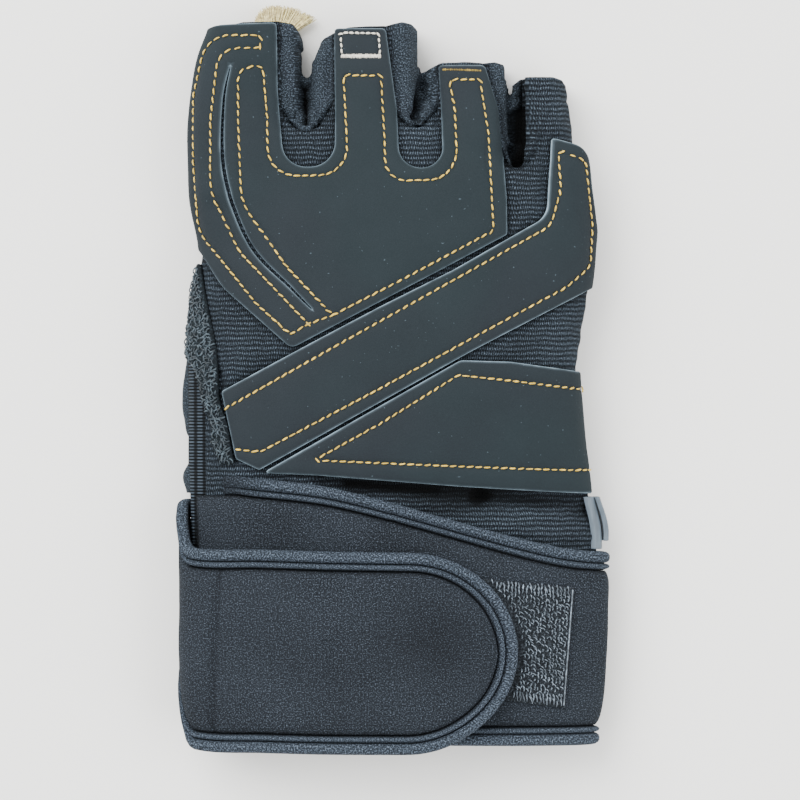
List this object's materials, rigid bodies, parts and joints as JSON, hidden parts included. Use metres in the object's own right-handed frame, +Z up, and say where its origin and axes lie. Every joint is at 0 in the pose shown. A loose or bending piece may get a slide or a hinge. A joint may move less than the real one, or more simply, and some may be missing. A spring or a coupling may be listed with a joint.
{
  "type": "weightlifting glove",
  "caption": "Fingerless left-hand lifting glove of knit cloth with leather palm overlays and a neoprene wrist wrap, lying palm side up",
  "frame": {"origin": "Bottom centre of the whole glove's box, on the surface it lies on.", "axes": "+Y from the wrist to the fingertips, +X from the thumb side to the little finger side, +Z up out of the palm."},
  "size_m": [0.117, 0.2018, 0.0256],
  "materials": {
    "knit": "black ribbed knit with a grey fleck",
    "stretch": "smooth black stretch jersey",
    "loop_cloth": "dark looped cloth with a bright fleck",
    "leather": "matte charcoal microfibre leather with pale cut edges",
    "facing": "smooth grey-blue coated cloth",
    "neoprene": "dark slate jersey-faced neoprene with a fine fleck",
    "hem_cloth": "dark slate jersey binding, turned and twin stitched",
    "hook_tape": "black hook tape with pale hook tips",
    "tab_cloth": "frayed beige cloth"
  },
  "bodies": {
    "root": {"palm_panel": "knit", "back_panel": "knit", "fourchette_index_middle": "stretch", "fourchette_middle_ring": "stretch", "fourchette_ring_little": "stretch", "thumb_stall": "stretch", "thumb_band": "loop_cloth", "palm_pad": "leather", "cross_band": "leather", "heel_pad": "leather", "side_facing": "facing", "wrist_wrap": "neoprene", "wrap_hem": "hem_cloth", "hook_patch": "hook_tape", "pull_tab": "tab_cloth"}
  },
  "joints": []
}
